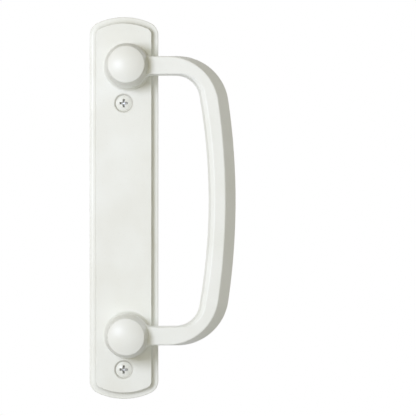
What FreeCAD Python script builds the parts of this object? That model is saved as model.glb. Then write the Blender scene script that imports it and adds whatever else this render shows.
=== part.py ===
import FreeCAD, Part
import math
import os

import Sketcher

# Pull handle of a sliding patio door, with its long plate.
# X runs across the plate, Z up along it, and the front faces -Y.
# The plate's back lies on Y = 0, and a depth is counted from there to the front.

DOCUMENT = FreeCAD.newDocument("PatioDoorHandle")
SHEET = DOCUMENT.addObject("Spreadsheet::Sheet", "Sizes")
VECTOR = FreeCAD.Vector
SAME_PLACE = 0.01
FULL_TURN = 360

# Driving dimensions in millimetres, angles in degrees
SIZES = [
    ("plate_width", 41.1),
    ("plate_length", 228.8),
    ("plate_end_radius", 37.5),
    ("plate_corner_radius", 8.0),
    ("plate_border", 4.0),
    ("plate_lip", 1.8),
    ("plate_thickness", 6.0),
    ("plate_cove", 2.8),
    ("plate_wall", 2.2),
    ("plate_lip_round", 0.5),
    ("plate_field_round", 0.3),
    ("rib_thickness", 1.6),
    ("rib_pitch", 28.0),
    ("rib_count", 7),
    ("post_boss_diameter", 20.0),
    ("screw_boss_diameter", 15.0),
    ("knob_offset", 2.2),
    ("knob_middle", 4.3),
    ("knob_spacing", 160.0),
    ("screw_middle", -17.0),
    ("screw_spacing", 159.2),
    ("collar_diameter", 28.4),
    ("collar_band", 1.2),
    ("collar_thickness", 3.0),
    ("boss_diameter", 26.2),
    ("boss_round", 0.4),
    ("spigot_diameter", 12.0),
    ("spigot_height", 1.2),
    ("spigot_clearance", 0.15),
    ("face_depth", 24.0),
    ("bevel_depth", 1.4),
    ("parting_depth", 17.0),
    ("arm_back_depth", 13.0),
    ("arm_height", 11.6),
    ("arm_draft", 0.5),
    ("arm_root_radius", 5.0),
    ("root_room_share", 0.8),
    ("root_overlap", 0.1),
    ("grip_reach", 64.5),
    ("grip_width", 16.0),
    ("grip_back_round", 3.0),
    ("face_round", 0.9),
    ("face_round_share", 0.65),
    ("slope_width", 6.2),
    ("wall_draft", 1.3),
    ("bevel_width", 2.3),
    ("bend_outer", 30.5),
    ("bend_inner", 14.2),
    ("bow_outer", 410.0),
    ("bow_inner", 353.0),
    ("cap_foot_inset", 0.1),
    ("cap_foot_thickness", 0.5),
    ("cap_flank_radius", 26.0),
    ("cap_edge_diameter", 22.0),
    ("cap_edge_height", 10.5),
    ("cap_dome_rise", 2.4),
    ("cap_edge_round", 1.0),
    ("cap_bore_depth", 9.5),
    ("drill_point_depth", 1.4),
    ("shank_diameter", 4.8),
    ("shank_chamfer", 0.5),
    ("thread_clearance", 0.05),
    ("hole_clearance", 0.4),
    ("pan_head_diameter", 9.4),
    ("pan_head_height", 3.0),
    ("pan_head_side", 1.5),
    ("pan_head_round", 2.6),
    ("pan_head_flat", 5.6),
    ("pan_head_gap", 0.8),
    ("post_tip_gap", 1.7),
    ("oval_head_diameter", 9.8),
    ("oval_head_rise", 1.3),
    ("countersink_diameter", 11.6),
    ("countersink_angle", 82.0),
    ("mounting_screw_length", 51.0),
    ("neck_diameter", 4.2),
    ("recess_span", 4.8),
    ("recess_slot", 1.5),
    ("recess_depth", 2.2),
    ("recess_taper", 12.0),
    ("washer_diameter", 9.6),
    ("washer_thickness", 0.6),
    ("washer_ring_width", 1.2),
    ("washer_teeth", 8),
    ("washer_tooth_width", 1.1),
    ("washer_tooth_gap", 0.1),
]


def fill_sheet():
    for row, (alias, number) in enumerate(SIZES, 1):
        SHEET.set("A%d" % row, alias)
        SHEET.set("B%d" % row, str(number))
        SHEET.setAlias("B%d" % row, alias)
    DOCUMENT.recompute()


def value(expression):
    return float(SHEET.evalExpression(expression.replace("Sizes.", "")))


# Bodies, sketches and their constraints

def new_body(label, across="0", up="0", depth="0"):
    body = DOCUMENT.addObject("PartDesign::Body", label)
    body.Label = label
    body.setExpression("Placement.Base.x", across)
    body.setExpression("Placement.Base.y", "-(%s)" % depth)
    body.setExpression("Placement.Base.z", up)
    return body


def origin_feature(body, role):
    return next(item for item in body.Origin.OriginFeatures if item.Role == role)


def new_sketch(body, name, role="XZ_Plane", depth="0"):
    sketch = body.newObject("Sketcher::SketchObject", name)
    sketch.AttachmentSupport = [(origin_feature(body, role), "")]
    sketch.MapMode = "FlatFace"
    sketch.setExpression("AttachmentOffset.Base.z", depth)
    return sketch


def add_line(sketch, start, end):
    line = Part.LineSegment(VECTOR(*start, 0), VECTOR(*end, 0))
    return sketch.addGeometry(line, False), 1, 2


def add_arc(sketch, centre, start, end, clockwise):
    first, last = (end, start) if clockwise else (start, end)
    angles = [math.atan2(point[1] - centre[1], point[0] - centre[0]) for point in (first, last)]
    circle = Part.Circle(VECTOR(*centre, 0), VECTOR(0, 0, 1), math.dist(centre, start))
    index = sketch.addGeometry(Part.ArcOfCircle(circle, *angles), False)
    return (index, 2, 1) if clockwise else (index, 1, 2)


def add_circle(sketch, across, up, diameter):
    circle = Part.Circle(VECTOR(value(across), value(up), 0), VECTOR(0, 0, 1), value(diameter) / 2)
    index = sketch.addGeometry(circle, False)
    pin(sketch, index, 3, across, up)
    bind(sketch, "Diameter", (index,), diameter)


def bind(sketch, kind, target, expression):
    constraint = Sketcher.Constraint(kind, *target, value(expression))
    sketch.setExpression("Constraints[%d]" % sketch.addConstraint(constraint), expression)


def tie(sketch, kind, *target):
    sketch.addConstraint(Sketcher.Constraint(kind, *target))


def pin(sketch, index, end, across, up):
    for kind, axis, expression in (("DistanceX", -2, across), ("DistanceY", -1, up)):
        if expression == "0":
            tie(sketch, "PointOnObject", index, end, axis)
        else:
            bind(sketch, kind, (-1, 1, index, end), expression)


def join(sketch, edges, smooth):
    for number, edge in enumerate(edges):
        following = edges[(number + 1) % len(edges)]
        kind = "Tangent" if number in smooth else "Coincident"
        tie(sketch, kind, edge[0], edge[2], following[0], following[1])


def mirrored(point):
    return point[0], -point[1]


# Outlines

KNOB_AXIS = "(Sizes.knob_spacing / 2)"
ROOT_CIRCLE = "(Sizes.boss_diameter / 2 - Sizes.root_overlap)"


def plate_outline(sketch, inset):
    """Long sides joined to arched ends by corner arcs, all moved in by the inset."""
    half_width = "Sizes.plate_width / 2 - (%s)" % inset
    end_radius = "Sizes.plate_end_radius - (%s)" % inset
    corner_radius = "Sizes.plate_corner_radius - (%s)" % inset
    end_centre = "Sizes.plate_length / 2 - Sizes.plate_end_radius"
    x_side, r_end, r_corner = value(half_width), value(end_radius), value(corner_radius)
    z_end = value(end_centre)
    x_corner = x_side - r_corner
    rise = math.sqrt((r_end - r_corner) ** 2 - x_corner ** 2)
    z_corner = z_end + rise
    reach = r_end / (r_end - r_corner)
    touch = (x_corner * reach, z_end + rise * reach)
    side = (x_side, z_corner)
    left = [(-point[0], point[1]) for point in (touch, side)]
    edges = [
        add_arc(sketch, (0, z_end), left[0], touch, True),
        add_arc(sketch, (x_corner, z_corner), touch, side, True),
        add_line(sketch, side, mirrored(side)),
        add_arc(sketch, (x_corner, -z_corner), mirrored(side), mirrored(touch), True),
        add_arc(sketch, (0, -z_end), mirrored(touch), mirrored(left[0]), True),
        add_arc(sketch, (-x_corner, -z_corner), mirrored(left[0]), mirrored(left[1]), True),
        add_line(sketch, mirrored(left[1]), left[1]),
        add_arc(sketch, (-x_corner, z_corner), left[1], left[0], True),
    ]
    join(sketch, edges, range(len(edges)))
    top, right, bottom, line_left = edges[0][0], edges[2][0], edges[4][0], edges[6][0]
    for line in (right, line_left):
        tie(sketch, "Vertical", line)
    bind(sketch, "DistanceX", (-1, 1, right, 1), half_width)
    bind(sketch, "DistanceX", (-1, 1, line_left, 1), "-(%s)" % half_width)
    pin(sketch, top, 3, "0", end_centre)
    pin(sketch, bottom, 3, "0", "-(%s)" % end_centre)
    bind(sketch, "Radius", (top,), end_radius)
    tie(sketch, "Equal", top, bottom)
    bind(sketch, "Radius", (edges[1][0],), corner_radius)
    for corner in (edges[3][0], edges[5][0], edges[7][0]):
        tie(sketch, "Equal", edges[1][0], corner)


def bow_points(reach, top, bend, bow):
    """Bend centre, bow centre and their tangent point on one side of the grip."""
    bow_centre = (reach - bow, 0)
    bend_up = top - bend
    bend_centre = (bow_centre[0] + math.sqrt((bow - bend) ** 2 - bend_up ** 2), bend_up)
    share = bow / (bow - bend)
    touch = (bow_centre[0] + (bend_centre[0] - bow_centre[0]) * share, bend_up * share)
    return bend_centre, bow_centre, touch


def root_radius(reach, top, bend, bow, side):
    """Round where an arm runs into its boss, no larger than the arm's straight run leaves room for."""
    rise = "(%d * (%s - %s))" % (side, top, KNOB_AXIS)
    run = "(%s - %s + sqrt((%s - %s)^2 - (%s - %s)^2))" % (reach, bow, bow, bend, top, bend)
    room = "(%s^2 - %s^2 + %s^2) / (2 * (%s - %s))" % (run, ROOT_CIRCLE, rise, ROOT_CIRCLE, rise)
    return "min(Sizes.arm_root_radius; Sizes.root_room_share * %s)" % room


def root_points(top, side, root):
    """Centre of the round where an arm's edge runs into its boss, and where it meets the boss."""
    boss, axis = value(ROOT_CIRCLE), value(KNOB_AXIS)
    up = top + side * root - axis
    across = math.sqrt((boss + root) ** 2 - up ** 2)
    share = boss / (boss + root)
    return (across, axis + up), (across * share, axis + up * share)


def bow_edges(sketch, reach, top, bend, bow, side):
    """Edges from boss to boss along the outside of the D, side 1, or its inside, side -1."""
    root = value(root_radius(reach, top, bend, bow, side))
    reach, top, bend, bow = [value(item) for item in (reach, top, bend, bow)]
    bend_centre, bow_centre, touch = bow_points(reach, top, bend, bow)
    root_centre, root_touch = root_points(top, side, root)
    half = [root_touch, (root_centre[0], top), (bend_centre[0], top), touch]
    points = half + [mirrored(point) for point in reversed(half)]
    centres = [root_centre, None, bend_centre, bow_centre]
    centres += [mirrored(bend_centre), None, mirrored(root_centre)]
    if side < 0:
        points = [mirrored(point) for point in points]
        centres = [centre and mirrored(centre) for centre in centres]
    edges = []
    for step, centre in enumerate(centres):
        if centre is None:
            edges.append(add_line(sketch, points[step], points[step + 1]))
        else:
            is_root = step in (0, len(centres) - 1)
            clockwise = side > 0 and not is_root
            edges.append(add_arc(sketch, centre, points[step], points[step + 1], clockwise))
    return edges


def bind_bow(sketch, edges, reach, top, bend, bow, side, circles):
    signs = ("", "-") if side > 0 else ("-", "")
    ends = ((edges[0], 1), (edges[6], 2))
    for line, sign in zip((edges[1][0], edges[5][0]), signs):
        tie(sketch, "Horizontal", line)
        bind(sketch, "DistanceY", (-1, 1, line, 1), sign + "(%s)" % top)
    for (edge, place), circle in zip(ends, circles if side > 0 else reversed(circles)):
        tie(sketch, "Tangent", edge[0], edge[place], circle)
        bind(sketch, "Radius", (edge[0],), root_radius(reach, top, bend, bow, side))
    bind(sketch, "Radius", (edges[2][0],), bend)
    tie(sketch, "Equal", edges[2][0], edges[4][0])
    bind(sketch, "Radius", (edges[3][0],), bow)
    pin(sketch, edges[3][0], 3, "%s - %s" % (reach, bow), "0")


def boss_circles(sketch):
    """Construction circles that the arms' rounded roots run into."""
    circles = []
    for sign in ("", "-"):
        add_circle(sketch, "0", sign + KNOB_AXIS, "2 * " + ROOT_CIRCLE)
        circles.append(sketch.GeometryCount - 1)
        sketch.setConstruction(circles[-1], True)
    return circles


def grip_outline(sketch, slope, outer_draft, wall, inner_draft):
    """Closed D outline with its arms, each side moved in by its own amounts."""
    reach = "(Sizes.grip_reach - %s)" % slope
    top = "(%s + Sizes.arm_height / 2 - %s)" % (KNOB_AXIS, outer_draft)
    inner_reach = "(Sizes.grip_reach - Sizes.grip_width + %s)" % wall
    inner_top = "(%s - Sizes.arm_height / 2 + %s)" % (KNOB_AXIS, inner_draft)
    outer_sizes = (reach, top, "Sizes.bend_outer", "Sizes.bow_outer", 1)
    inner_sizes = (inner_reach, inner_top, "Sizes.bend_inner", "Sizes.bow_inner", -1)
    outer = bow_edges(sketch, *outer_sizes)
    inner = bow_edges(sketch, *inner_sizes)
    root_ends = []
    for sizes in (outer_sizes, inner_sizes):
        root_ends.append(root_points(value(sizes[1]), sizes[-1], value(root_radius(*sizes)))[1])
    lower_end = add_line(sketch, mirrored(root_ends[0]), mirrored(root_ends[1]))
    upper_end = add_line(sketch, root_ends[1], root_ends[0])
    edges = outer + [lower_end] + inner + [upper_end]
    smooth = [number for number in range(len(edges)) if number not in (6, 7, 14, 15)]
    join(sketch, edges, smooth)
    circles = boss_circles(sketch)
    bind_bow(sketch, outer, *outer_sizes, circles)
    bind_bow(sketch, inner, *inner_sizes, circles)


def turned_profile(sketch, corners, arcs=()):
    """Closed profile over the axis of turning. Arcs name the corner they start at."""
    points = [(value(across), value(radius)) for across, radius in corners]
    rounds = dict((number, (radius, side)) for number, radius, side in arcs)
    edges = []
    for number, start in enumerate(points):
        end = points[(number + 1) % len(points)]
        if number in rounds:
            centre = arc_centre(start, end, value(rounds[number][0]), rounds[number][1])
            edge = add_arc(sketch, centre, start, end, rounds[number][1] < 0)
        else:
            edge = add_line(sketch, start, end)
        edges.append(edge)
    join(sketch, edges, ())
    for edge, (across, radius) in zip(edges, corners):
        pin(sketch, edge[0], edge[1], across, radius)
    for number, (radius, side) in rounds.items():
        bind(sketch, "Radius", (edges[number][0],), radius)


def arc_centre(start, end, radius, side):
    """Centre to the left of the way from start to end where side is 1, right where -1."""
    middle = [(a + b) / 2 for a, b in zip(start, end)]
    half = math.dist(start, end) / 2
    height = math.sqrt(max(radius ** 2 - half ** 2, 0))
    along = [(b - a) / (2 * half) for a, b in zip(start, end)]
    return middle[0] - along[1] * height * side, middle[1] + along[0] * height * side


# Features

def pad(body, name, sketch, length, backward=False):
    feature = body.newObject("PartDesign::Pad", name)
    feature.Profile = sketch
    feature.Reversed = backward
    feature.setExpression("Length", length)
    return feature


def pocket(body, name, sketch, length, forward=False):
    feature = body.newObject("PartDesign::Pocket", name)
    feature.Profile = sketch
    feature.Reversed = forward
    feature.setExpression("Length", length)
    return feature


def turn(body, name, sketch):
    feature = body.newObject("PartDesign::Revolution", name)
    feature.Profile = sketch
    feature.ReferenceAxis = (sketch, ["H_Axis"])
    feature.Angle = FULL_TURN
    return feature


def fillet(body, name, edges, radius):
    base = body.Tip
    feature = body.newObject("PartDesign::Fillet", name)
    feature.Base = (base, edges)
    feature.setExpression("Radius", radius)
    DOCUMENT.recompute()
    return feature


def edges_on(body, wires):
    """Names of the edges whose middle lies on one of the wires."""
    names = []
    for number, edge in enumerate(body.Tip.Shape.Edges, 1):
        middle = edge.valueAt((edge.FirstParameter + edge.LastParameter) / 2)
        spot = Part.Vertex(middle)
        if any(spot.distToShape(wire)[0] < SAME_PLACE for wire in wires):
            names.append("Edge%d" % number)
    return names


def moved_front(sketch, expression):
    shape = sketch.Shape.copy()
    shape.translate(VECTOR(0, -value(expression), 0))
    return shape


# Places that several pieces share

KNOB_UP = {
    "upper": "Sizes.knob_middle + Sizes.knob_spacing / 2",
    "lower": "Sizes.knob_middle - Sizes.knob_spacing / 2",
}
SCREW_UP = {
    "upper": "Sizes.screw_middle + Sizes.screw_spacing / 2",
    "lower": "Sizes.screw_middle - Sizes.screw_spacing / 2",
}
HOLLOW_DEPTH = "(Sizes.plate_thickness - Sizes.plate_wall)"
BOSS_BACK = "(Sizes.plate_thickness + Sizes.collar_thickness)"
CREST_DEPTH = "(Sizes.face_depth - Sizes.bevel_depth)"
CLEAR_HOLE = "(Sizes.shank_diameter + Sizes.hole_clearance)"
HALF_ANGLE_TANGENT = "tan(Sizes.countersink_angle * 1 deg / 2)"
WASHER_FRONT = "(%s - Sizes.washer_thickness)" % HOLLOW_DEPTH


# Plate

def build_plate():
    body = new_body("escutcheon_plate")
    outline = new_sketch(body, "PlateOutline")
    plate_outline(outline, "0")
    pad(body, "PlateLip", outline, "Sizes.plate_lip")
    field = new_sketch(body, "PlateField", depth="Sizes.plate_lip")
    plate_outline(field, "Sizes.plate_border")
    pad(body, "PlateRaisedField", field, "Sizes.plate_thickness - Sizes.plate_lip")
    DOCUMENT.recompute()
    fillet(body, "PlateCove", edges_on(body, [field.Shape]), "Sizes.plate_cove")
    lip_edge = moved_front(outline, "Sizes.plate_lip")
    fillet(body, "PlateLipRound", edges_on(body, [lip_edge]), "Sizes.plate_lip_round")
    crest = moved_front(field, "Sizes.plate_thickness - Sizes.plate_lip")
    fillet(body, "PlateFieldRound", edges_on(body, [crest]), "Sizes.plate_field_round")
    hollow_plate(body)
    drill_plate(body)
    return body


def hollow_plate(body):
    """The casting's back is cored out, and bosses and cross ribs reach back to the door."""
    hollow = new_sketch(body, "PlateHollow")
    plate_outline(hollow, "Sizes.plate_border + Sizes.plate_wall")
    pocket(body, "PlateCoring", hollow, HOLLOW_DEPTH, forward=True)
    bosses = new_sketch(body, "PlateBosses")
    for place in KNOB_UP.values():
        add_circle(bosses, "Sizes.knob_offset", place, "Sizes.post_boss_diameter")
    for place in SCREW_UP.values():
        add_circle(bosses, "0", place, "Sizes.screw_boss_diameter")
    pad(body, "PlateBossPads", bosses, HOLLOW_DEPTH)
    rib = new_sketch(body, "PlateRib")
    half_width = "(Sizes.plate_width / 2 - Sizes.plate_border - Sizes.plate_wall / 2)"
    bottom = "-(Sizes.rib_count - 1) / 2 * Sizes.rib_pitch - Sizes.rib_thickness / 2"
    top = "-(Sizes.rib_count - 1) / 2 * Sizes.rib_pitch + Sizes.rib_thickness / 2"
    corners = [("-" + half_width, bottom), (half_width, bottom)]
    corners += [(half_width, top), ("-" + half_width, top)]
    turned_profile(rib, corners)
    first = pad(body, "PlateFirstRib", rib, HOLLOW_DEPTH)
    DOCUMENT.recompute()
    ribs = body.newObject("PartDesign::LinearPattern", "PlateRibs")
    ribs.Originals = [first]
    ribs.Direction = (origin_feature(body, "Z_Axis"), [""])
    ribs.setExpression("Length", "(Sizes.rib_count - 1) * Sizes.rib_pitch")
    ribs.setExpression("Occurrences", "Sizes.rib_count")
    body.Tip = ribs
    DOCUMENT.recompute()


def drill_plate(body):
    for side, place in KNOB_UP.items():
        seat = new_sketch(body, "PostSeat_" + side)
        size = "Sizes.pan_head_diameter + 2 * Sizes.pan_head_gap"
        add_circle(seat, "Sizes.knob_offset", place, size)
        pocket(body, "PostCounterbore_" + side, seat, HOLLOW_DEPTH, forward=True)
        hole = new_sketch(body, "PostHole_" + side)
        add_circle(hole, "Sizes.knob_offset", place, CLEAR_HOLE)
        pocket(body, "PostBore_" + side, hole, "Sizes.plate_thickness", forward=True)
    holes = new_sketch(body, "ScrewHoles", depth="Sizes.plate_thickness")
    for place in SCREW_UP.values():
        add_circle(holes, "0", place, CLEAR_HOLE)
    DOCUMENT.recompute()
    drilled = body.newObject("PartDesign::Hole", "ScrewCountersinks")
    drilled.Profile = holes
    DOCUMENT.recompute()
    drilled.DepthType = "ThroughAll"
    drilled.HoleCutType = "Countersink"
    drilled.HoleCutCustomValues = True
    drilled.setExpression("Diameter", CLEAR_HOLE)
    drilled.setExpression("HoleCutDiameter", "Sizes.countersink_diameter")
    drilled.setExpression("HoleCutCountersinkAngle", "Sizes.countersink_angle")
    DOCUMENT.recompute()


# Pull handle

def build_pull():
    body = new_body("pull_handle", "Sizes.knob_offset", "Sizes.knob_middle")
    share = "(%s - Sizes.parting_depth) / (Sizes.face_depth - Sizes.parting_depth)" % CREST_DEPTH
    back = new_sketch(body, "GripBack", depth="Sizes.arm_back_depth")
    grip_outline(back, "0", "0", "0", "0")
    widest = new_sketch(body, "GripWidest", depth="Sizes.parting_depth")
    grip_outline(widest, "0", "0", "0", "0")
    bevel = new_sketch(body, "GripBevel", depth=CREST_DEPTH)
    arm_inset = "Sizes.arm_draft * " + share
    grip_outline(bevel, "Sizes.slope_width * " + share, arm_inset, "Sizes.wall_draft", arm_inset)
    face = new_sketch(body, "GripFace", depth="Sizes.face_depth")
    face_wall = "Sizes.wall_draft + Sizes.bevel_width"
    grip_outline(face, "Sizes.slope_width", "Sizes.arm_draft", face_wall, "Sizes.arm_draft")
    pad(body, "GripBackHalf", back, "Sizes.parting_depth - Sizes.arm_back_depth")
    front = body.newObject("PartDesign::AdditiveLoft", "GripFrontHalf")
    front.Profile = widest
    front.Sections = [(bevel, [""]), (face, [""])]
    front.Ruled = True
    DOCUMENT.recompute()
    round_sides(body, "GripBackRound", back, "Sizes.grip_back_round")
    face_round = "min(Sizes.face_round; Sizes.face_round_share * Sizes.bevel_depth)"
    round_sides(body, "GripFaceRound", face, face_round)
    add_bosses(body)
    return body


def round_sides(body, name, outline, radius):
    """Rounds the long edges of an outline, without its short ends inside the bosses."""
    sides = [edge for edge in outline.Shape.Edges if edge.BoundBox.XLength > value("Sizes.root_overlap")]
    fillet(body, name, edges_on(body, sides), radius)


def add_bosses(body):
    bosses = new_sketch(body, "KnobBosses", depth=BOSS_BACK)
    recess = new_sketch(body, "CollarRecesses", depth=BOSS_BACK)
    seat = new_sketch(body, "CapRecesses", depth="Sizes.face_depth")
    bore = new_sketch(body, "PostBores", depth="Sizes.face_depth")
    recess_size = "Sizes.spigot_diameter + 2 * Sizes.spigot_clearance"
    for place in (KNOB_AXIS, "-" + KNOB_AXIS):
        add_circle(bosses, "0", place, "Sizes.boss_diameter")
        add_circle(recess, "0", place, recess_size)
        add_circle(seat, "0", place, recess_size)
        add_circle(bore, "0", place, CLEAR_HOLE)
    height = "Sizes.face_depth - " + BOSS_BACK
    pad(body, "KnobBossPads", bosses, height)
    DOCUMENT.recompute()
    fillet(body, "BossBackRound", edges_on(body, [bosses.Shape]), "Sizes.boss_round")
    depth = "Sizes.spigot_height + Sizes.spigot_clearance"
    pocket(body, "CollarRecessCut", recess, depth, forward=True)
    pocket(body, "CapRecessCut", seat, depth)
    pocket(body, "PostBoreCut", bore, height)
    DOCUMENT.recompute()


# Collars and caps

def build_collar(side):
    body = new_body(side + "_collar", "Sizes.knob_offset", KNOB_UP[side], "Sizes.plate_thickness")
    sketch = new_sketch(body, "CollarProfile_" + side, "YZ_Plane")
    bore = CLEAR_HOLE + " / 2"
    outer = "Sizes.collar_diameter / 2"
    top = "Sizes.boss_diameter / 2"
    spigot = "Sizes.spigot_diameter / 2"
    thickness = "-Sizes.collar_thickness"
    spigot_end = "-(Sizes.collar_thickness + Sizes.spigot_height)"
    corners = [("0", bore), ("0", outer), ("-Sizes.collar_band", outer), (thickness, top)]
    corners += [(thickness, spigot), (spigot_end, spigot), (spigot_end, bore)]
    sweep = "Sizes.collar_thickness - Sizes.collar_band + Sizes.collar_diameter / 2 - %s" % top
    turned_profile(sketch, corners, [(2, sweep, -1)])
    turn(body, "CollarTurned_" + side, sketch)
    return body


def build_cap(side):
    body = new_body(side + "_cap", "Sizes.knob_offset", KNOB_UP[side], "Sizes.face_depth")
    sketch = new_sketch(body, "CapProfile_" + side, "YZ_Plane")
    bore = "Sizes.shank_diameter / 2 + Sizes.thread_clearance"
    spigot = "Sizes.spigot_diameter / 2"
    foot = "(Sizes.boss_diameter / 2 - Sizes.cap_foot_inset)"
    edge = "Sizes.cap_edge_diameter / 2"
    dome = "((%s)^2 + Sizes.cap_dome_rise^2) / (2 * Sizes.cap_dome_rise)" % edge
    corners = [
        ("Sizes.spigot_height", bore),
        ("Sizes.spigot_height", spigot),
        ("0", spigot),
        ("0", foot),
        ("-Sizes.cap_foot_thickness", foot),
        ("-Sizes.cap_edge_height", edge),
        ("-(Sizes.cap_edge_height + Sizes.cap_dome_rise)", "0"),
        ("-(Sizes.cap_bore_depth + Sizes.drill_point_depth)", "0"),
        ("-Sizes.cap_bore_depth", bore),
    ]
    turned_profile(sketch, corners, [(4, "Sizes.cap_flank_radius", -1), (5, dome, 1)])
    turn(body, "CapTurned_" + side, sketch)
    DOCUMENT.recompute()
    crisp = Part.Circle(VECTOR(0, -value("Sizes.cap_edge_height"), 0), VECTOR(0, 1, 0), value(edge))
    fillet(body, "CapEdgeRound_" + side, edges_on(body, [crisp.toShape()]), "Sizes.cap_edge_round")
    return body


# Screws and washers

def cut_recess(body, name, depth, forward):
    """Cross recess for a Phillips driver, narrower towards its floor."""
    sketch = new_sketch(body, name + "Cross", depth=depth)
    span = "Sizes.recess_span / 2"
    slot = "Sizes.recess_slot / 2"
    arm = [(slot, slot), (slot, span), ("-" + slot, span)]
    corners = []
    for turn_number in range(4):
        corners += arm
        arm = [("-(%s)" % up, across) for across, up in arm]
    turned_profile(sketch, corners)
    feature = pocket(body, name, sketch, "Sizes.recess_depth", forward)
    feature.setExpression("TaperAngle", "-Sizes.recess_taper")
    DOCUMENT.recompute()


def build_post_screw(side):
    body = new_body(side + "_post_screw", "Sizes.knob_offset", KNOB_UP[side], WASHER_FRONT)
    sketch = new_sketch(body, "PostScrewProfile_" + side, "YZ_Plane")
    shank = "Sizes.shank_diameter / 2"
    bore_end = "(Sizes.face_depth + Sizes.cap_bore_depth - %s)" % WASHER_FRONT
    tip = "-(%s - Sizes.post_tip_gap)" % bore_end
    corners = [
        (tip, "0"),
        ("Sizes.pan_head_height", "0"),
        ("Sizes.pan_head_height", "Sizes.pan_head_flat / 2"),
        ("Sizes.pan_head_side", "Sizes.pan_head_diameter / 2"),
        ("0", "Sizes.pan_head_diameter / 2"),
        ("0", shank),
        (tip + " + Sizes.shank_chamfer", shank),
        (tip, shank + " - Sizes.shank_chamfer"),
    ]
    turned_profile(sketch, corners, [(2, "Sizes.pan_head_round", 1)])
    turn(body, "PostScrewTurned_" + side, sketch)
    DOCUMENT.recompute()
    cut_recess(body, "PostScrewRecess_" + side, "-Sizes.pan_head_height", True)
    return body


def build_mounting_screw(side):
    sink = "(Sizes.countersink_diameter - Sizes.oval_head_diameter) / 2 / " + HALF_ANGLE_TANGENT
    rim = "Sizes.plate_thickness - " + sink
    body = new_body(side + "_mounting_screw", "0", SCREW_UP[side], rim)
    sketch = new_sketch(body, "MountingScrewProfile_" + side, "YZ_Plane")
    shank = "Sizes.shank_diameter / 2"
    neck = "Sizes.neck_diameter / 2"
    head = "Sizes.oval_head_diameter / 2"
    cone = "(Sizes.oval_head_diameter - Sizes.neck_diameter) / 2 / " + HALF_ANGLE_TANGENT
    dome = "((%s)^2 + Sizes.oval_head_rise^2) / (2 * Sizes.oval_head_rise)" % head
    corners = [
        ("-Sizes.oval_head_rise", "0"),
        ("Sizes.mounting_screw_length", "0"),
        ("Sizes.mounting_screw_length", shank + " - Sizes.shank_chamfer"),
        ("Sizes.mounting_screw_length - Sizes.shank_chamfer", shank),
        (rim, shank),
        (rim, neck),
        (cone, neck),
        ("0", head),
    ]
    turned_profile(sketch, corners, [(7, dome, 1)])
    turn(body, "MountingScrewTurned_" + side, sketch)
    DOCUMENT.recompute()
    cut_recess(body, "MountingScrewRecess_" + side, "Sizes.oval_head_rise", False)
    return body


def build_washer(side):
    body = new_body(side + "_lock_washer", "Sizes.knob_offset", KNOB_UP[side], WASHER_FRONT)
    ring = new_sketch(body, "WasherRing_" + side)
    inner = "Sizes.washer_diameter - 2 * Sizes.washer_ring_width"
    add_circle(ring, "0", "0", "Sizes.washer_diameter")
    add_circle(ring, "0", "0", inner)
    pad(body, "WasherRingPad_" + side, ring, "Sizes.washer_thickness")
    tooth = new_sketch(body, "WasherTooth_" + side)
    tip = "(Sizes.shank_diameter / 2 + Sizes.washer_tooth_gap)"
    root = "(%s + Sizes.washer_ring_width) / 2" % inner
    half = "Sizes.washer_tooth_width / 2"
    corners = [(tip, "-" + half), (root, "-" + half), (root, half), (tip, half)]
    turned_profile(tooth, corners)
    first = pad(body, "WasherToothPad_" + side, tooth, "Sizes.washer_thickness")
    DOCUMENT.recompute()
    teeth = body.newObject("PartDesign::PolarPattern", "WasherTeeth_" + side)
    teeth.Originals = [first]
    teeth.Axis = (origin_feature(body, "Y_Axis"), [""])
    teeth.Angle = FULL_TURN
    teeth.setExpression("Occurrences", "Sizes.washer_teeth")
    body.Tip = teeth
    DOCUMENT.recompute()
    return body


# Assembly, checks and export

def build_all():
    bodies = [build_plate(), build_pull()]
    for side in ("upper", "lower"):
        bodies.append(build_collar(side))
        bodies.append(build_cap(side))
        bodies.append(build_post_screw(side))
        bodies.append(build_washer(side))
        bodies.append(build_mounting_screw(side))
    DOCUMENT.recompute()
    return bodies


def check(bodies):
    for item in DOCUMENT.Objects:
        if "Invalid" in item.State or "Error" in item.State:
            raise RuntimeError("%s did not recompute: %s" % (item.Name, item.State))
    for body in bodies:
        shape = body.Shape
        if shape.isNull() or not shape.isValid() or len(shape.Solids) != 1:
            raise RuntimeError("%s is not one valid solid" % body.Label)
        print("%-24s %10.1f mm3" % (body.Label, shape.Volume))


def export(bodies):
    os.makedirs("parts", exist_ok=True)
    for body in bodies:
        body.Shape.exportStep("parts/%s.step" % body.Label)


fill_sheet()
BODIES = build_all()
check(BODIES)
export(BODIES)
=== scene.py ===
import math

import bpy
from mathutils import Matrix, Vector


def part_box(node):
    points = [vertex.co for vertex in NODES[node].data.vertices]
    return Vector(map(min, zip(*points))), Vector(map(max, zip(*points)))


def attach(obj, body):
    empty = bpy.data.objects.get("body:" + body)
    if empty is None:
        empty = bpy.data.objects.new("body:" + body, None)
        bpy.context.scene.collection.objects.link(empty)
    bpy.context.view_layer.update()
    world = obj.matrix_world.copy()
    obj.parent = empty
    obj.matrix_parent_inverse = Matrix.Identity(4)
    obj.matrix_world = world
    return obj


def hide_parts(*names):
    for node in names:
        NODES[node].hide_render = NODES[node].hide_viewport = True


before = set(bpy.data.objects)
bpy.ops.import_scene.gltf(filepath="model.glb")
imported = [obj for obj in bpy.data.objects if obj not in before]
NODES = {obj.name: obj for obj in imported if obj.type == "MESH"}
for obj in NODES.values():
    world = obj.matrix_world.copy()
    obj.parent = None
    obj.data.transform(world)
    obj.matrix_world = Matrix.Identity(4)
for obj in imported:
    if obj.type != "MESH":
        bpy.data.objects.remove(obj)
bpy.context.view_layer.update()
scene = bpy.context.scene

# The long plate is one zinc die casting, sprayed with off-white enamel and baked. Its front
# has a soft gloss and a faint orange peel. The coat is thin in the pockets of its cored back,
# where the grey casting shows through like a mist. Two screws clamp it to the door. A soft
# shade is painted into the enamel around each screw head, where the countersink lies in shade.

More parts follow.
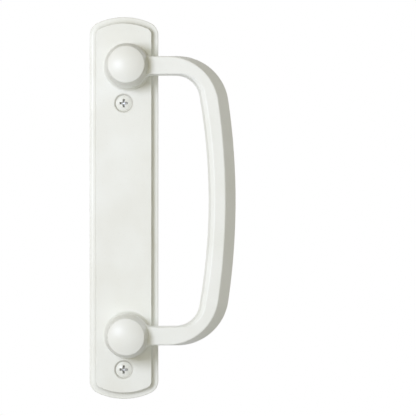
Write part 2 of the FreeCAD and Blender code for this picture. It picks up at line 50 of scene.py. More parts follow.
ENAMEL_LIGHT = (238, 239, 231)
ENAMEL_DEEP = (232, 232, 222)
ENAMEL_SHADE = (214, 211, 198)
ENAMEL_ROUGHNESS = 0.35
ENAMEL_SPECULAR = 0.33
NOISE_MIDDLE = 0.5
CLOUDS_PER_METRE = 38.0
CLOUD_LIMITS = (0.25, 0.75)
CLOUD_ROUGHNESS = 0.10
PEEL_PER_METRE = 780.0
PEEL_ROUGHNESS = 0.05
PEEL_HEIGHT = 0.00003
PEEL_STRENGTH = 0.6
NIBS_PER_METRE = 2100.0
NIB_LIMITS = (0.77, 0.83)
NIB_SHARE = 0.3
CASTING_GREY = (150, 151, 149)
BACK_LIMITS = (0.3, 0.9)
BACK_ROUGHNESS = 0.16
POCKET_RIM = -0.0010
POCKET_FLOOR = -0.0036
POCKET_PITCH = 0.028
MIST_RAGGED = 0.3
MIST_LIMITS = (0.30, 0.75)
THIN_EVERYWHERE = 0.25
THIN_IN_MIST = 0.50
EJECTOR_ACROSS = 0.0105
EJECTOR_RADIUS = 0.0024
EJECTOR_LINE = 0.00022
EJECTOR_CORE = 0.4
EJECTOR_DEPTH = 0.00012
EJECTOR_SHARE = 0.3
# Painted shade: a darker enamel tone in the crevice around each screw head, where shade falls.
CREVICE_PAINTED_SHADE = (150, 146, 134)
CREVICE_PAINTED_SHADE_SHARE = 0.45
CREVICE_RADIUS = 0.0051
COUNTERSINK_RADIUS = 0.0060


class Wire:
    """A shader socket that takes part in Python sums."""

    def __init__(self, finish, socket):
        self.finish = finish
        self.socket = socket

    def maths(self, operation, first, second=0.0):
        return self.finish.add("ShaderNodeMath", {"operation": operation}, {0: first, 1: second})

    def __add__(self, other):
        return self.maths("ADD", self, other)

    def __radd__(self, other):
        return self.maths("ADD", other, self)

    def __sub__(self, other):
        return self.maths("SUBTRACT", self, other)

    def __rsub__(self, other):
        return self.maths("SUBTRACT", other, self)

    def __mul__(self, other):
        return self.maths("MULTIPLY", self, other)

    def __rmul__(self, other):
        return self.maths("MULTIPLY", other, self)

    def __abs__(self):
        return self.maths("ABSOLUTE", self)


class Finish:
    """A material in the making, around the tree of a surface or of the world."""

    MIX_COLOURS = (6, 7)
    MIX_RESULT = 2

    def __init__(self, owner):
        self.owner = owner
        owner.use_nodes = True
        self.tree = owner.node_tree
        self.place = self.add("ShaderNodeTexCoord", output="Object")

    def add(self, kind, settings=None, inputs=None, output=0):
        """Adds a node, sets it, fills or links its sockets and returns one of its outputs."""
        node = self.tree.nodes.new(kind)
        for name, setting in (settings or {}).items():
            setattr(node, name, setting)
        self.fill(node, inputs or {})
        return Wire(self, node.outputs[output])

    def fill(self, node, inputs):
        for key, source in inputs.items():
            if isinstance(source, Wire):
                self.tree.links.new(source.socket, node.inputs[key])
            else:
                node.inputs[key].default_value = source

    def shade(self, inputs):
        self.fill(self.tree.nodes["Principled BSDF"], inputs)

    def noise(self, per_metre, detail=2.0):
        inputs = {"Vector": self.place, "Scale": per_metre, "Detail": detail}
        return self.add("ShaderNodeTexNoise", {"noise_dimensions": "3D"}, inputs, "Fac")

    def fade(self, source, start, end):
        """0 before the start, 1 past the end, and smooth between them."""
        inputs = {"Value": source, "From Min": start, "From Max": end}
        return self.add("ShaderNodeMapRange", {"interpolation_type": "SMOOTHSTEP"}, inputs)

    def blend(self, share, first, second):
        """Colour between two others, where the share is 0 for the first and 1 for the second."""
        inputs = {0: share}
        for key, colour in zip(self.MIX_COLOURS, (first, second)):
            inputs[key] = colour if isinstance(colour, Wire) else from_display(colour)
        return self.add("ShaderNodeMix", {"data_type": "RGBA"}, inputs, self.MIX_RESULT)

    def bump(self, height, distance, strength=1.0, under=None):
        inputs = {"Height": height, "Distance": distance, "Strength": strength}
        if under:
            inputs["Normal"] = under
        return self.add("ShaderNodeBump", None, inputs, "Normal")

    def along(self, output, axis):
        """One coordinate of the place, or of the surface's normal."""
        vector = self.place if output == "Place" else self.add("ShaderNodeTexCoord", output=output)
        return self.add("ShaderNodeSeparateXYZ", None, {0: vector}, axis)


def from_display(colour):
    """Linear colour of an 8-bit display colour, by the usual display curve."""
    shares = [channel / 255 for channel in colour]
    return [((share + 0.055) / 1.055) ** 2.4 for share in shares] + [1.0]


def axis_place(node):
    """Where a node's turning axis, along Y, crosses the plate's back."""
    low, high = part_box(node)
    return Vector(((low[0] + high[0]) / 2, 0.0, (low[2] + high[2]) / 2))


def distance(across, along):
    """Distance of two coordinates from their zero."""
    square = across * across + along * along
    return square.maths("SQRT", square)


def painted_shade_around_screws(finish):
    """Painted shade mask: 1 in the crevice around both mounting screws' heads, 0 outside their
    countersinks.
    """
    upper, lower = axis_place("upper_mounting_screw"), axis_place("lower_mounting_screw")
    across = finish.along("Place", "X") - upper.x
    from_middle = finish.along("Place", "Z") - (upper.z + lower.z) / 2
    up = abs(from_middle) - (upper.z - lower.z) / 2
    return 1 - finish.fade(distance(across, up), CREVICE_RADIUS, COUNTERSINK_RADIUS)


def ejector_marks(finish):
    """1 on the round witness lines that the die's ejector pins leave in the pockets' floors."""
    across = abs(finish.along("Place", "X")) - EJECTOR_ACROSS
    along = finish.along("Place", "Z")
    along = along.maths("PINGPONG", along, POCKET_PITCH / 2) - POCKET_PITCH / 2
    off_line = abs(distance(across, along) - EJECTOR_RADIUS)
    return 1 - finish.fade(off_line, EJECTOR_LINE * EJECTOR_CORE, EJECTOR_LINE)


def enamel(name, light=ENAMEL_LIGHT, deep=ENAMEL_DEEP, thin_behind=False):
    """Baked off-white enamel. Behind a casting it may be thin, with the zinc showing through."""
    finish = Finish(bpy.data.materials.new(name))
    clouds = finish.noise(CLOUDS_PER_METRE)
    peel = finish.noise(PEEL_PER_METRE, detail=1.0)
    nibs = finish.fade(finish.noise(NIBS_PER_METRE, detail=0.0), *NIB_LIMITS)
    colour = finish.blend(finish.fade(clouds, *CLOUD_LIMITS), light, deep)
    colour = finish.blend(nibs * NIB_SHARE, colour, ENAMEL_SHADE)
    roughness = ENAMEL_ROUGHNESS + CLOUD_ROUGHNESS * (clouds - NOISE_MIDDLE)
    roughness = roughness + PEEL_ROUGHNESS * (peel - NOISE_MIDDLE)
    relief = finish.bump(peel, PEEL_HEIGHT, PEEL_STRENGTH)
    if thin_behind:
        behind = finish.fade(finish.along("Normal", "Y"), *BACK_LIMITS)
        in_pocket = finish.fade(finish.along("Place", "Y"), POCKET_RIM, POCKET_FLOOR)
        mist = finish.fade(clouds + MIST_RAGGED * (peel - NOISE_MIDDLE), *MIST_LIMITS)
        thin = behind * in_pocket * (THIN_EVERYWHERE + THIN_IN_MIST * mist)
        colour = finish.blend(thin, colour, CASTING_GREY)
        # Painted shade: the enamel darkens in the crevice around each screw head, where shade falls.
        crevice = (1 - behind) * painted_shade_around_screws(finish)
        colour = finish.blend(crevice * CREVICE_PAINTED_SHADE_SHARE, colour, CREVICE_PAINTED_SHADE)
        roughness = roughness + BACK_ROUGHNESS * behind
        marks = behind * in_pocket * ejector_marks(finish)
        colour = finish.blend(marks * EJECTOR_SHARE, colour, CASTING_GREY)
        relief = finish.bump(1 - marks, EJECTOR_DEPTH, under=relief)
    finish.shade({
        "Base Color": colour,
        "Roughness": roughness,
        "Specular IOR Level": ENAMEL_SPECULAR,
        "Normal": relief,
    })
    return finish.owner


def paint(node, material):
    NODES[node].data.materials.clear()
    NODES[node].data.materials.append(material)


paint("escutcheon_plate", enamel("plate_enamel", thin_behind=True))

# A round collar stands between the plate and each boss of the pull, with a spigot that
# centres it in the boss. It is a small zinc casting in the plate's enamel, all over.

knob_enamel = enamel("knob_enamel")
for collar in ("upper_collar", "lower_collar"):
    paint(collar, knob_enamel)

# The pull is the second large casting: two round bosses, two arms and the D-shaped grip,
# which slopes away outside its crest. Its baked enamel covers it on all sides. Its colour is
# the plate's enamel painted a shade lighter, as painted light. Its bosses stand on the collars.

# Painted light: the plate's enamel tones a shade lighter, so that the pull looks more brightly lit.
PULL_PAINTED_LIT = (243, 244, 237)
PULL_PAINTED_LIT_DEEP = (238, 239, 230)

paint("pull_handle", enamel("pull_painted_lit_enamel", PULL_PAINTED_LIT, PULL_PAINTED_LIT_DEEP))

# A domed cap closes the front of each boss, as the knob that shows. It is a solid zinc
# casting in the same enamel as the collars, with a spigot in the boss and a blind tapped
# bore that the post screw pulls on from behind.

for cap in ("upper_cap", "lower_cap"):
    paint(cap, knob_enamel)

# An internal-tooth lock washer lies in the plate's back under each post screw's head. It is
# stamped from spring steel and zinc-plated, and its teeth are twisted so that they bite into
# the head and the casting.

TURNED_SIDES = 64
SAME_PLACE = 0.000001
SMOOTH_ANGLE = math.radians(32)
THREAD_RADIUS = 0.0024
WASHER_RADIUS = 0.0048
WASHER_RING = 0.0012
WASHER_EDGE = 0.00008
WASHER_EDGE_STEPS = 2
TOOTH_COUNT = 8
TOOTH_WIDTH = 0.0009
TOOTH_THICKNESS = 0.00036
TOOTH_GAP = 0.0001
TOOTH_TWIST = math.radians(16)
ZINC_LIGHT = (200, 203, 207)
ZINC_DEEP = (184, 186, 184)
ZINC_LIMITS = (0.3, 0.7)
ZINC_ROUGHNESS = 0.30
ZINC_CLOUD_ROUGHNESS = 0.16
ZINC_GRAIN_ROUGHNESS = 0.10
STEEL_CLOUDS_PER_METRE = 520.0
STEEL_GRAIN_PER_METRE = 6000.0
STEEL_GRAIN_HEIGHT = 0.000006
STEEL_GRAIN_STRENGTH = 0.4


def close_up(piece):
    """Merges what coincides, turns the faces outwards and leaves edit mode at the origin."""
    bpy.ops.mesh.select_all(action="SELECT")
    bpy.ops.mesh.remove_doubles(threshold=SAME_PLACE)
    bpy.ops.mesh.normals_make_consistent(inside=False)
    bpy.ops.object.mode_set(mode="OBJECT")
    bpy.ops.object.transform_apply(location=True, rotation=True, scale=True)


def draw_out(depth, radius, next_depth, next_radius):
    """In edit mode, draws the selected circle out to the next station, or closes it at a pole."""
    bpy.ops.mesh.extrude_region_move(TRANSFORM_OT_translate={"value": (0, next_depth - depth, 0)})
    if next_radius < SAME_PLACE:
        bpy.ops.mesh.merge(type="CENTER")
        return
    share = next_radius / radius
    bpy.ops.transform.resize(value=(share, 1, share), center_override=(0, next_depth, 0))


def apply_modifier(piece, kind, settings):
    bpy.context.view_layer.objects.active = piece
    modifier = piece.modifiers.new(kind, kind)
    for name, setting in settings.items():
        setattr(modifier, name, setting)
    bpy.ops.object.modifier_apply(modifier=modifier.name)


def join_up(*pieces):
    bpy.ops.object.select_all(action="DESELECT")
    for piece in pieces:
        piece.select_set(True)
    bpy.context.view_layer.objects.active = pieces[0]
    bpy.ops.object.join()
    bpy.ops.object.shade_smooth_by_angle(angle=SMOOTH_ANGLE)
    return pieces[0]


def copy_to(pattern, name, place):
    """Copy of a piece with its own mesh, moved to a place with its object at the origin."""
    piece = bpy.data.objects.new(name, pattern.data.copy())
    scene.collection.objects.link(piece)
    bpy.ops.object.select_all(action="DESELECT")
    piece.select_set(True)
    bpy.context.view_layer.objects.active = piece
    piece.location = place
    bpy.ops.object.transform_apply(location=True, rotation=True, scale=True)
    piece.data.materials.clear()
    return piece


def washer_ring(low, high):
    """Flat ring about the Y axis with broken edges, between two depths."""
    inner = WASHER_RADIUS - WASHER_RING
    section = [
        (low, inner + WASHER_EDGE), (low, WASHER_RADIUS - WASHER_EDGE),
        (low + WASHER_EDGE, WASHER_RADIUS), (high - WASHER_EDGE, WASHER_RADIUS),
        (high, WASHER_RADIUS - WASHER_EDGE), (high, inner + WASHER_EDGE),
        (high - WASHER_EDGE, inner), (low + WASHER_EDGE, inner),
    ]
    station = section[0]
    bpy.ops.object.select_all(action="DESELECT")
    bpy.ops.mesh.primitive_circle_add(
        vertices=TURNED_SIDES, radius=station[1], fill_type="NOTHING",
        location=(0, station[0], 0), rotation=(math.pi / 2, 0, 0), enter_editmode=True)
    ring = bpy.context.object
    for next_station in section[1:] + section[:1]:
        draw_out(*station, *next_station)
        station = next_station
    close_up(ring)
    return ring


def washer_tooth(tip, root, depth, angle):
    """One twisted tooth, at an angle about the Y axis."""
    bpy.ops.object.select_all(action="DESELECT")
    bpy.ops.mesh.primitive_cube_add(
        size=1, location=((tip + root) / 2, depth, 0), rotation=(TOOTH_TWIST, 0, 0))
    tooth = bpy.context.object
    tooth.scale = (root - tip, TOOTH_THICKNESS, TOOTH_WIDTH)
    bpy.ops.object.transform_apply(location=True, rotation=True, scale=True)
    tooth.rotation_euler = (0, angle, 0)
    bpy.ops.object.transform_apply(location=True, rotation=True, scale=True)
    apply_modifier(tooth, "BEVEL", {"width": WASHER_EDGE, "segments": WASHER_EDGE_STEPS})
    return tooth


def lock_washer(low, high):
    """Ring and teeth as one piece, between two depths."""
    ring = washer_ring(low, high)
    tip = THREAD_RADIUS + TOOTH_GAP
    root = WASHER_RADIUS - WASHER_RING / 2
    teeth = []
    for number in range(TOOTH_COUNT):
        angle = 2 * math.pi * number / TOOTH_COUNT
        teeth.append(washer_tooth(tip, root, (low + high) / 2, angle))
    return join_up(ring, *teeth)


def zinc_plating(finish, clouds, grain):
    """Colour and roughness of thin zinc plating on steel."""
    colour = finish.blend(finish.fade(clouds, *ZINC_LIMITS), ZINC_LIGHT, ZINC_DEEP)
    roughness = ZINC_ROUGHNESS + ZINC_CLOUD_ROUGHNESS * clouds
    return colour, roughness + ZINC_GRAIN_ROUGHNESS * (grain - NOISE_MIDDLE)


def steel_finish(name):
    finish = Finish(bpy.data.materials.new(name))
    clouds = finish.noise(STEEL_CLOUDS_PER_METRE)
    grain = finish.noise(STEEL_GRAIN_PER_METRE, detail=1.0)
    colour, roughness = zinc_plating(finish, clouds, grain)
    finish.shade({
        "Base Color": colour,
        "Metallic": 1.0,
        "Roughness": roughness,
        "Normal": finish.bump(grain, STEEL_GRAIN_HEIGHT, STEEL_GRAIN_STRENGTH),
    })
    return finish.owner


washer_low, washer_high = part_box("upper_lock_washer")
plated_steel = steel_finish("plated_steel")
washer_pattern = lock_washer(washer_low[1], washer_high[1])
for side in ("upper", "lower"):
    washer = copy_to(washer_pattern, side + "_tooth_washer", axis_place(side + "_lock_washer"))
    washer.data.materials.append(plated_steel)
    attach(washer, "root")
    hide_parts(side + "_lock_washer")
bpy.data.objects.remove(washer_pattern)

# Behind the plate a pan-head machine screw draws each boss and its cap against the plate. It
# is zinc-plated steel with a pressed cross recess and a rolled thread, and it is never
# painted, because it goes in after the castings are finished.

PAN_RADIUS = 0.0047
PAN_SIDE = 0.0015
PAN_FLAT_RADIUS = 0.0028
PAN_STEPS = 7
PAN_RECESS_SPAN = 0.0048
THREAD_PITCH = 0.00106
THREAD_ROOT_RADIUS = 0.00184
THREAD_TOOTH_RADIUS = 0.00055
THREAD_TOOTH_SIDES = 3
THREAD_START = 0.0006
THREAD_STEPS = 40
TIP_CHAMFER = 0.0005
RECESS_SLOT = 0.0015
RECESS_DEPTH = 0.0022
RECESS_OVERCUT = 0.0001
RECESS_FLOOR_SPAN = 0.55
RECESS_FLOOR_SLOT = 0.62
RECESS_CORE_SIDES = 24
RECESS_CORE_RADIUS = 0.00105
RECESS_TIP_RADIUS = 0.00055
RECESS_TIP_DEPTH = 0.0024
SLIVER = 0.000005


def turn_out(name, stations):
    """Turned solid about the Y axis: a disc drawn out through (depth, radius) stations."""
    station = stations[0]
    bpy.ops.object.select_all(action="DESELECT")
    bpy.ops.mesh.primitive_circle_add(
        vertices=TURNED_SIDES, radius=station[1], fill_type="NGON",
        location=(0, station[0], 0), rotation=(math.pi / 2, 0, 0), enter_editmode=True)
    piece = bpy.context.object
    piece.name = name
    for next_station in stations[1:]:
        draw_out(*station, *next_station)
        station = next_station
    close_up(piece)
    return piece


def wind_thread(low, high):
    """Rolled thread: a three-sided tooth wound around the Y axis between two depths."""
    bpy.ops.object.select_all(action="DESELECT")
    bpy.ops.mesh.primitive_circle_add(
        vertices=THREAD_TOOTH_SIDES, radius=THREAD_TOOTH_RADIUS, fill_type="NOTHING",
        location=(THREAD_RADIUS - THREAD_TOOTH_RADIUS, low, 0), rotation=(0, 0, -math.pi / 2))
    thread = bpy.context.object
    bpy.ops.object.transform_apply(location=True, rotation=True, scale=True)
    turns = int((high - low) / THREAD_PITCH)
    apply_modifier(thread, "SCREW", {
        "axis": "Y", "screw_offset": THREAD_PITCH, "iterations": turns,
        "steps": THREAD_STEPS, "render_steps": THREAD_STEPS,
    })
    bpy.ops.object.mode_set(mode="EDIT")
    bpy.ops.mesh.select_all(action="SELECT")
    bpy.ops.mesh.fill_holes(sides=THREAD_TOOTH_SIDES)
    close_up(thread)
    return thread


def select_faces(piece, test):
    """In edit mode, selects only the faces whose centre passes the test."""
    bpy.ops.mesh.select_all(action="DESELECT")
    bpy.ops.object.mode_set(mode="OBJECT")
    for face in piece.data.polygons:
        face.select = test(piece.matrix_world @ face.center)
    bpy.ops.object.mode_set(mode="EDIT")


def cut_away(piece, tool):
    """Cuts the tool's shape out of a piece, and clears the slivers that the cut leaves."""
    apply_modifier(piece, "BOOLEAN", {"operation": "DIFFERENCE", "solver": "EXACT", "object": tool})
    bpy.data.objects.remove(tool)
    bpy.ops.object.select_all(action="DESELECT")
    piece.select_set(True)
    bpy.ops.object.mode_set(mode="EDIT")
    bpy.ops.mesh.select_all(action="SELECT")
    bpy.ops.mesh.remove_doubles(threshold=SLIVER)
    bpy.ops.mesh.dissolve_degenerate(threshold=SLIVER)
    bpy.ops.mesh.quads_convert_to_tris(quad_method="BEAUTY", ngon_method="BEAUTY")
    bpy.ops.mesh.dissolve_degenerate(threshold=SLIVER)
    bpy.ops.object.mode_set(mode="OBJECT")


def recess_wing(face, inward, span, angle):
    """One bar of the cross, narrower towards its floor, turned about the Y axis."""
    middle = face + inward * (RECESS_DEPTH - RECESS_OVERCUT) / 2
    bpy.ops.object.select_all(action="DESELECT")
    bpy.ops.mesh.primitive_cube_add(size=1, location=(0, middle, 0), rotation=(0, angle, 0))
    wing = bpy.context.object
    wing.scale = (span, RECESS_DEPTH + RECESS_OVERCUT, RECESS_SLOT)
    bpy.ops.object.transform_apply(location=True, rotation=True, scale=True)
    bpy.ops.object.mode_set(mode="EDIT")
    select_faces(wing, lambda centre: (centre.y - middle) * inward > RECESS_OVERCUT)
    shares = (RECESS_FLOOR_SPAN, 1, RECESS_FLOOR_SLOT)
    shares = shares if angle == 0 else shares[::-1]
    bpy.ops.transform.resize(value=shares, center_override=(0, face + inward * RECESS_DEPTH, 0))
    close_up(wing)
    return wing


def press_recess(piece, face, inward, span):
    """Cross recess for a driver: two tapered wings and the cone between them."""
    for angle in (0, math.pi / 2):
        cut_away(piece, recess_wing(face, inward, span, angle))
    bpy.ops.object.select_all(action="DESELECT")
    bpy.ops.mesh.primitive_cone_add(
        vertices=RECESS_CORE_SIDES, radius1=RECESS_CORE_RADIUS, radius2=RECESS_TIP_RADIUS,
        depth=RECESS_TIP_DEPTH, location=(0, face + inward * RECESS_TIP_DEPTH / 2, 0),
        rotation=(-inward * math.pi / 2, 0, 0))
    cut_away(piece, bpy.context.object)


def pan_head_screw(seat, top, tip):
    """The whole screw about the Y axis, with its head towards the back."""
    corner = seat + PAN_SIDE
    stations = [
        (tip, THREAD_ROOT_RADIUS - TIP_CHAMFER),
        (tip + TIP_CHAMFER, THREAD_ROOT_RADIUS),
        (seat - THREAD_START, THREAD_ROOT_RADIUS),
        (seat - THREAD_START / 2, THREAD_RADIUS),
        (seat, THREAD_RADIUS),
        (seat, PAN_RADIUS),
        (corner, PAN_RADIUS),
    ]
    for step in range(1, PAN_STEPS + 1):
        angle = math.pi / 2 * step / PAN_STEPS
        radius = PAN_FLAT_RADIUS + (PAN_RADIUS - PAN_FLAT_RADIUS) * math.cos(angle)
        stations.append((corner + (top - corner) * math.sin(angle), radius))
    screw = turn_out("pan_head", stations)
    press_recess(screw, top, -1, PAN_RECESS_SPAN)
    thread = wind_thread(tip + TIP_CHAMFER, seat - THREAD_START)
    return join_up(screw, thread)


post_low, post_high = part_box("upper_post_screw")
post_pattern = pan_head_screw(washer_high[1], post_high[1], post_low[1])
for side in ("upper", "lower"):
    post = copy_to(post_pattern, side + "_pan_head_screw", axis_place(side + "_post_screw"))
    post.data.materials.append(plated_steel)
    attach(post, "root")
    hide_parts(side + "_post_screw")
bpy.data.objects.remove(post_pattern)

# Two machine screws with oval heads go through the plate and the door. They are zinc-plated
# steel, turned and thread-rolled, with a pressed cross recess. Only their heads are painted
# to match the plate, and the driver has marked the paint in the recess. The recess is also
# darkened with painted shade, more strongly deeper in.

HEAD_RADIUS = 0.0049
HEAD_RISE = 0.0013
HEAD_SIDE = 0.0004
HEAD_EDGE = 0.00012
HEAD_CONE_ANGLE = math.radians(82)
NECK_RADIUS = 0.0021
DOME_STEPS = 10
OVAL_RECESS_SPAN = 0.0058
# Painted shade: a dark tone laid into the cross recess, where shade falls.
RECESS_PAINTED_SHADE = (92, 89, 83)
RECESS_PAINTED_SHADE_SHARE = 0.6
RECESS_SHADE_START = 0.0007
RECESS_SHADE_END = 0.0003
RECESS_EDGE = 0.0003
PAINT_START = 0.0008
PAINT_END = 0.0012
SCREW_CLOUDS_PER_METRE = 400.0
SCREW_GRAIN_PER_METRE = 5200.0
SCREW_PEEL_PER_METRE = 1014.0
SCREW_PEEL_STRENGTH = 0.5
SCREW_PAINT_LIMITS = (0.3, 0.7)
SCREW_PAINT_ROUGHNESS = 0.30
SCREW_PEEL_ROUGHNESS = 0.08
WEAR_RAGGED = 0.5
WEAR_LIMITS = (0.45, 0.65)
WEAR_SHARE = 0.2


def off_axis(finish, kept):
    """Distance of the place from the origin, counted along the kept axes only."""
    flat = finish.add("ShaderNodeVectorMath", {"operation": "MULTIPLY"}, {0: finish.place, 1: kept})
    return finish.add("ShaderNodeVectorMath", {"operation": "LENGTH"}, {0: flat}, "Value")


def painted_screw_finish(name, place, rim):
    """Zinc plating with enamel on the head, worn where the driver bears in the recess and darkened there
    with painted shade.
    """
    finish = Finish(bpy.data.materials.new(name))
    finish.place = finish.add("ShaderNodeMapping", None, {"Vector": finish.place, "Location": -place})
    clouds = finish.noise(SCREW_CLOUDS_PER_METRE)
    grain = finish.noise(SCREW_GRAIN_PER_METRE, detail=1.0)
    peel = finish.noise(SCREW_PEEL_PER_METRE, detail=1.0)
    steel, steel_roughness = zinc_plating(finish, clouds, grain)
    depth = finish.along("Place", "Y")
    spread = off_axis(finish, (1, 0, 1))
    deep = finish.fade(depth, rim - RECESS_SHADE_START, rim - RECESS_SHADE_END)
    in_recess = deep * (1 - finish.fade(spread, OVAL_RECESS_SPAN / 2, OVAL_RECESS_SPAN / 2 + RECESS_EDGE))
    on_shank = finish.fade(depth, rim + PAINT_START, rim + PAINT_END)
    worn = in_recess * finish.fade(clouds + WEAR_RAGGED * (grain - NOISE_MIDDLE), *WEAR_LIMITS)
    bare = on_shank + (1 - on_shank) * worn * WEAR_SHARE
    coat = finish.blend(finish.fade(clouds, *SCREW_PAINT_LIMITS), ENAMEL_LIGHT, ENAMEL_DEEP)
    # Painted shade: the coat darkens deeper in the recess, where shade falls.
    coat = finish.blend((1 - on_shank) * in_recess * RECESS_PAINTED_SHADE_SHARE, coat, RECESS_PAINTED_SHADE)
    coat_roughness = SCREW_PAINT_ROUGHNESS + SCREW_PEEL_ROUGHNESS * (peel - NOISE_MIDDLE)
    finish.shade({
        "Base Color": finish.blend(bare, coat, steel),
        "Metallic": bare,
        "Roughness": bare * steel_roughness + (1 - bare) * coat_roughness,
        "Specular IOR Level": ENAMEL_SPECULAR,
        "Normal": finish.bump(peel, PEEL_HEIGHT, SCREW_PEEL_STRENGTH),
    })
    return finish.owner


def dome_stations(rim, radius, rise):
    """(depth, radius) from just inside a rim to the pole of a face domed to the front."""
    ball = (radius ** 2 + rise ** 2) / (2 * rise)
    opening = math.asin(radius / ball)
    stations = []
    for step in range(1, DOME_STEPS + 1):
        angle = opening * (1 - step / DOME_STEPS)
        stations.append((rim - (rise - ball * (1 - math.cos(angle))), ball * math.sin(angle)))
    return stations


def oval_head_screw(rim, tip):
    """The whole screw about the Y axis, with its head towards the front."""
    cone_end = rim + (HEAD_RADIUS - NECK_RADIUS) / math.tan(HEAD_CONE_ANGLE / 2)
    thread_start = max(cone_end, 0.0) + THREAD_START
    dome_radius = HEAD_RADIUS - 2 * HEAD_EDGE
    stations = [
        (tip, THREAD_ROOT_RADIUS - TIP_CHAMFER),
        (tip - TIP_CHAMFER, THREAD_ROOT_RADIUS),
        (thread_start, THREAD_ROOT_RADIUS),
        (thread_start - TIP_CHAMFER / 2, NECK_RADIUS),
        (cone_end, NECK_RADIUS),
        (rim + HEAD_SIDE, HEAD_RADIUS - HEAD_SIDE),
        (rim + HEAD_EDGE, HEAD_RADIUS - HEAD_EDGE),
        (rim, dome_radius),
    ]
    screw = turn_out("oval_head", stations + dome_stations(rim, dome_radius, HEAD_RISE))
    press_recess(screw, rim - HEAD_RISE, 1, OVAL_RECESS_SPAN)
    thread = wind_thread(thread_start, tip - TIP_CHAMFER)
    return join_up(screw, thread)


screw_low, screw_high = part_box("upper_mounting_screw")
screw_rim = screw_low[1] + HEAD_RISE
screw_pattern = oval_head_screw(screw_rim, screw_high[1])
for side in ("upper", "lower"):
    place = axis_place(side + "_mounting_screw")
    screw = copy_to(screw_pattern, side + "_oval_head_screw", place)
    screw.data.materials.append(painted_screw_finish(side + "_screw_finish", place, screw_rim))
    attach(screw, "root")
    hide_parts(side + "_mounting_screw")
bpy.data.objects.remove(screw_pattern)

# The floor is pale matt paper far below the part, which hangs on its door in use. It keeps
# a soft shadow near the part and turns white towards its edge.

FLOOR_HEIGHT = -0.55
FLOOR_RADIUS = 1.9
FLOOR_SIDES = 96
PAPER_LIGHT = (226, 226, 224)
PAPER_DEEP = (220, 220, 217)
PAPER_CLOUDS_PER_METRE = 3.0
PAPER_FIBRES_PER_METRE = 900.0
PAPER_FIBRE_DETAIL = 3.0
PAPER_FIBRE_HEIGHT = 0.0001
PAPER_FIBRE_STRENGTH = 0.2
PAPER_ROUGHNESS = 0.85
PAPER_FIBRE_ROUGHNESS = 0.1
PAPER_GLOW = 0.35
GLOW_START = 0.35
GLOW_END = 1.8


def floor_paper():
    finish = Finish(bpy.data.materials.new("floor_paper"))
    fibres = finish.noise(PAPER_FIBRES_PER_METRE, PAPER_FIBRE_DETAIL)
    clouds = finish.noise(PAPER_CLOUDS_PER_METRE)
    finish.shade({
        "Base Color": finish.blend(clouds, PAPER_LIGHT, PAPER_DEEP),
        "Roughness": PAPER_ROUGHNESS + PAPER_FIBRE_ROUGHNESS * (fibres - NOISE_MIDDLE),
        "Normal": finish.bump(fibres, PAPER_FIBRE_HEIGHT, PAPER_FIBRE_STRENGTH),
    })
    away = off_axis(finish, (1, 1, 0))
    seen = finish.add("ShaderNodeLightPath", output="Is Camera Ray")
    paper = Wire(finish, finish.tree.nodes["Principled BSDF"].outputs[0])
    white = finish.add("ShaderNodeEmission", None, {"Color": (1, 1, 1, 1), "Strength": 1.0})
    share = (PAPER_GLOW + (1 - PAPER_GLOW) * finish.fade(away, GLOW_START, GLOW_END)) * seen
    surface = finish.add("ShaderNodeMixShader", None, {0: share, 1: paper, 2: white})
    finish.fill(finish.tree.nodes["Material Output"], {"Surface": surface})
    return finish.owner


bpy.ops.object.select_all(action="DESELECT")
bpy.ops.mesh.primitive_circle_add(
    vertices=FLOOR_SIDES, radius=FLOOR_RADIUS, fill_type="NGON", location=(0, 0, FLOOR_HEIGHT))
floor = bpy.context.object
floor.name = "floor"
bpy.ops.object.transform_apply(location=True, rotation=True, scale=True)
floor.data.materials.append(floor_paper())

# The camera is a long lens, square to the plate and about level with its middle. The eye
# stands right of the plate's middle, as in the photograph.

IMAGE_SIDE = 416
SENSOR = 36.0
METRES_PER_PIXEL = 0.0006
EYE_DISTANCE = 1.5
PLATE_CENTRE_PIXEL = (124.1, 208.0)
EYE_PIXEL = (205, 212)


def at_plate(pixel):
    """Point of the plate's back plane that the photograph shows at a pixel."""
    across = (pixel[0] - PLATE_CENTRE_PIXEL[0]) * METRES_PER_PIXEL
    up = (PLATE_CENTRE_PIXEL[1] - pixel[1]) * METRES_PER_PIXEL
    return Vector((across, 0.0, up))


camera_data = bpy.data.cameras.new("camera")
camera_data.sensor_width = SENSOR
camera_data.lens = EYE_DISTANCE / METRES_PER_PIXEL / IMAGE_SIDE * SENSOR
camera = bpy.data.objects.new("camera", camera_data)
scene.collection.objects.link(camera)
camera.location = at_plate(EYE_PIXEL) - Vector((0, EYE_DISTANCE, 0))
aim = at_plate((IMAGE_SIDE / 2, IMAGE_SIDE / 2)) - camera.location
camera.rotation_euler = aim.to_track_quat("-Z", "Y").to_euler()
scene.camera = camera

# A soft key stands left of the camera. A second soft light, which no gloss mirrors, shows
# the back. The world is a warm sweep, strongest in front, and plain white where the camera
# or a reflection shows it.

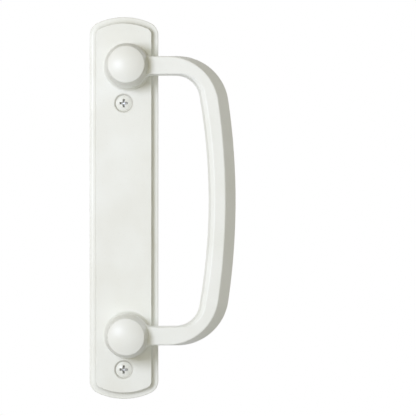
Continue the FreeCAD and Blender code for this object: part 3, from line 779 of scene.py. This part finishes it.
LAMP_COLOUR = (0.78, 0.82, 1.0)
KEY_PLACE = (-0.325, -0.79, 0.115)
KEY_SIDE = 0.26
KEY_WATTS = 4.8
BACK_PLACE = (0.6, 1.2, 0.4)
BACK_SIDE = 0.6
BACK_WATTS = 14.0
SWEEP_COLOUR = (1.0, 0.95, 0.75, 1.0)
SWEEP = (
    ((0, -1, 0), 0.66),
    ((-1, 0, 0), 0.36),
    ((0.2, 0.98, 0), 0.32),
)


def soft_light(name, place, side, watts, mirrored):
    lamp = bpy.data.lights.new(name, "AREA")
    lamp.shape = "SQUARE"
    lamp.size = side
    lamp.energy = watts
    lamp.color = LAMP_COLOUR
    holder = bpy.data.objects.new(name, lamp)
    scene.collection.objects.link(holder)
    holder.location = place
    holder.rotation_euler = (-Vector(place)).to_track_quat("-Z", "Y").to_euler()
    holder.visible_glossy = mirrored


soft_light("key", KEY_PLACE, KEY_SIDE, KEY_WATTS, mirrored=True)
soft_light("back_light", BACK_PLACE, BACK_SIDE, BACK_WATTS, mirrored=False)

world = bpy.data.worlds.new("white_sweep")
scene.world = world
sweep = Finish(world)
outward = sweep.add("ShaderNodeTexCoord", output="Generated")
strength = 0.0
for direction, share in SWEEP:
    aimed = {0: outward, 1: direction}
    towards = sweep.add("ShaderNodeVectorMath", {"operation": "DOT_PRODUCT"}, aimed, "Value")
    strength = strength + share * towards.maths("MAXIMUM", towards)
seen_white = 0.0
for kind_of_ray in ("Is Camera Ray", "Is Glossy Ray", "Is Transmission Ray"):
    ray = sweep.add("ShaderNodeLightPath", output=kind_of_ray)
    seen_white = ray.maths("MAXIMUM", ray, seen_white)
soft = sweep.add("ShaderNodeBackground", None, {"Color": SWEEP_COLOUR, "Strength": strength})
white = sweep.add("ShaderNodeBackground", None, {"Color": (1, 1, 1, 1), "Strength": 1.0})
both = sweep.add("ShaderNodeMixShader", None, {0: seen_white, 1: soft, 2: white})
sweep.fill(sweep.tree.nodes["World Output"], {"Surface": both})

scene.view_settings.view_transform = "Standard"
